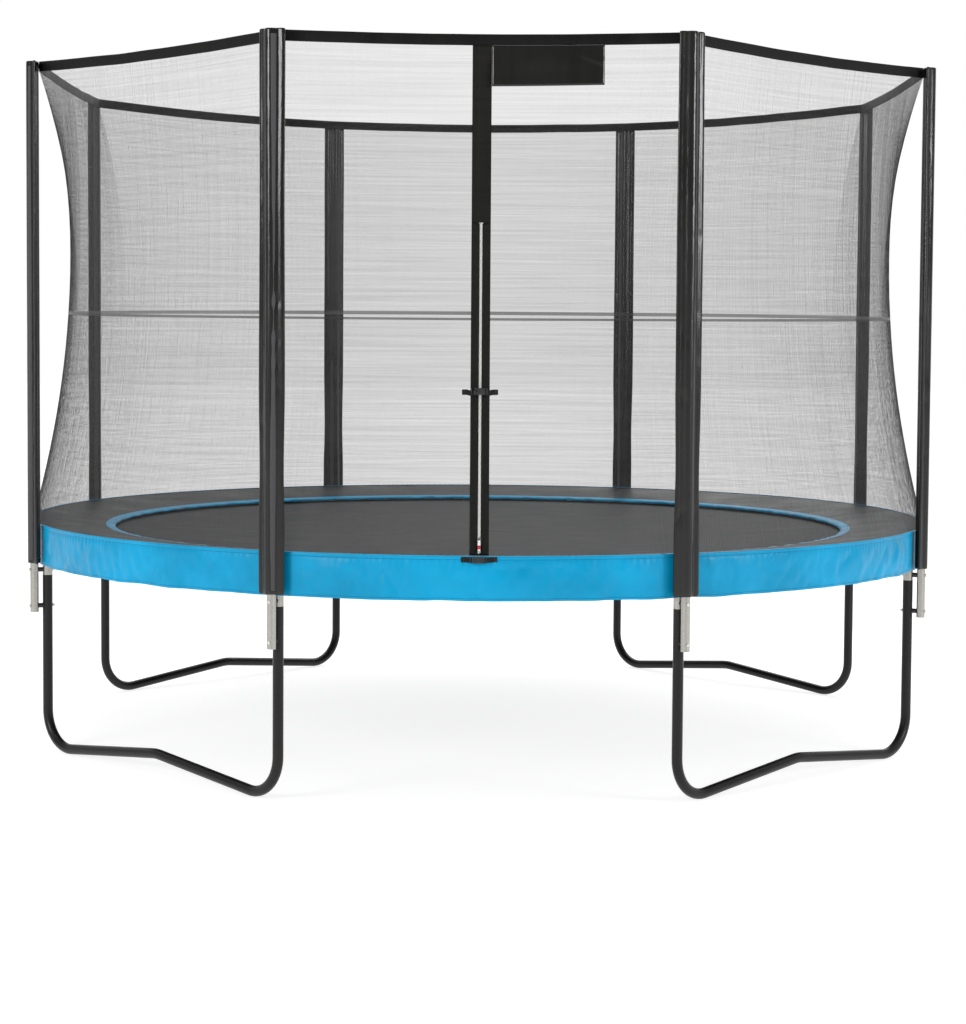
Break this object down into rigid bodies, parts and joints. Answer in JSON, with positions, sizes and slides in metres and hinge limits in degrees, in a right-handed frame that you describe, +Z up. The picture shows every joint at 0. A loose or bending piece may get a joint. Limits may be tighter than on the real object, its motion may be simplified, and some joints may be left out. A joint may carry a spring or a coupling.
{
  "type": "trampoline",
  "caption": "Round garden trampoline on four bent legs, with a sprung mat, a padded blue-skirted rim and a see-through safety net on padded poles with a zipped door.",
  "frame": {"origin": "on the ground under the centre of the mat", "axes": "+Z up; -Y towards the net's zipped door; +X to the right of someone facing the door"},
  "size_m": [3.6688, 3.6879, 2.66],
  "materials": {
    "galvanised_steel": "hot-dip galvanised, satin, faint spangle",
    "black_powder_coat": "satin black powder coat",
    "bright_zinc": "bright zinc plate",
    "spring_steel": "zinc-plated spring wire",
    "black_plastic": "moulded, fine matt texture",
    "foam": "closed-cell foam tube",
    "black_pvc": "glossy coated fabric, creased",
    "pad_pvc": "semi-gloss coated fabric over foam",
    "blue_pvc": "glossy sky-blue coated fabric, gathered",
    "mat_fabric": "woven polypropylene, matt",
    "black_webbing": "ribbed polyester webbing",
    "net_mesh": "fine knitted mesh, see-through",
    "zip_teeth": "moulded light-grey teeth",
    "zip_metal": "nickel-plated casting"
  },
  "bodies": {
    "frame": {"top_rail_1": "galvanised_steel", "leg_extension_1": "black_powder_coat", "pole_sleeve_1": "black_pvc", "top_rail_2": "galvanised_steel", "leg_extension_2": "black_powder_coat", "pole_sleeve_2": "black_pvc", "top_rail_3": "galvanised_steel", "leg_extension_3": "black_powder_coat", "pole_sleeve_3": "black_pvc", "top_rail_4": "galvanised_steel", "leg_extension_4": "black_powder_coat", "pole_sleeve_4": "black_pvc", "top_rail_5": "galvanised_steel", "leg_extension_5": "black_powder_coat", "pole_sleeve_5": "black_pvc", "top_rail_6": "galvanised_steel", "leg_extension_6": "black_powder_coat", "pole_sleeve_6": "black_pvc", "top_rail_7": "galvanised_steel", "leg_extension_7": "black_powder_coat", "pole_sleeve_7": "black_pvc", "top_rail_8": "galvanised_steel", "leg_extension_8": "black_powder_coat", "pole_sleeve_8": "black_pvc", "leg_base_1": "black_powder_coat", "leg_base_2": "black_powder_coat", "leg_base_3": "black_powder_coat", "leg_base_4": "black_powder_coat", "t_joints": "galvanised_steel", "net_poles_lower": "galvanised_steel", "net_poles_upper": "galvanised_steel", "pole_caps": "black_plastic", "pole_foams": "foam", "clamp_spacers": "black_plastic", "clamp_bolts": "bright_zinc", "clamp_nuts": "bright_zinc", "joint_screws": "bright_zinc", "springs": "spring_steel", "spring_pad": "pad_pvc", "pad_border": "blue_pvc", "pad_skirt": "blue_pvc", "safety_net_lower": "net_mesh", "safety_net_upper": "net_mesh", "net_seam": "black_webbing", "net_top_hem": "black_pvc", "door_band": "black_webbing", "zip_chain": "zip_teeth", "upper_buckle_socket": "black_plastic", "lower_buckle_socket": "black_plastic", "socket_straps": "black_webbing", "label_patch": "black_pvc"},
    "mat": {"jump_mat": "mat_fabric", "mat_webbing": "black_webbing", "v_rings": "bright_zinc"},
    "slider": {"zip_slider": "zip_metal"},
    "pull": {"zip_pull": "zip_metal"},
    "upper_tongue": {"upper_buckle_tongue": "black_plastic", "upper_tongue_strap": "black_webbing"},
    "lower_tongue": {"lower_buckle_tongue": "black_plastic", "lower_tongue_strap": "black_webbing"}
  },
  "joints": [
    {"name": "mat_bounce", "type": "slide", "parent": "frame", "child": "mat", "axis": [0, 0, 1], "range_m": [-0.2, 0], "stiffness_N_per_m": 5000, "springref_m": 0.06, "deforming": ["springs"]},
    {"name": "zip_travel", "type": "hinge", "parent": "frame", "child": "slider", "pos_m": [0, -6.47402, 2.10552], "axis": [1, 0, 0], "range_deg": [0, 12.9]},
    {"name": "zip_pull_swing", "type": "hinge", "parent": "slider", "child": "pull", "pos_m": [0, -1.82434, 0.92709], "axis": [-1, 0, 0], "range_deg": [0, 150]},
    {"name": "upper_buckle_release", "type": "slide", "parent": "frame", "child": "upper_tongue", "axis": [1, 0, 0], "range_m": [0, 0.03]},
    {"name": "lower_buckle_release", "type": "slide", "parent": "frame", "child": "lower_tongue", "axis": [1, 0, 0], "range_m": [0, 0.03]}
  ]
}
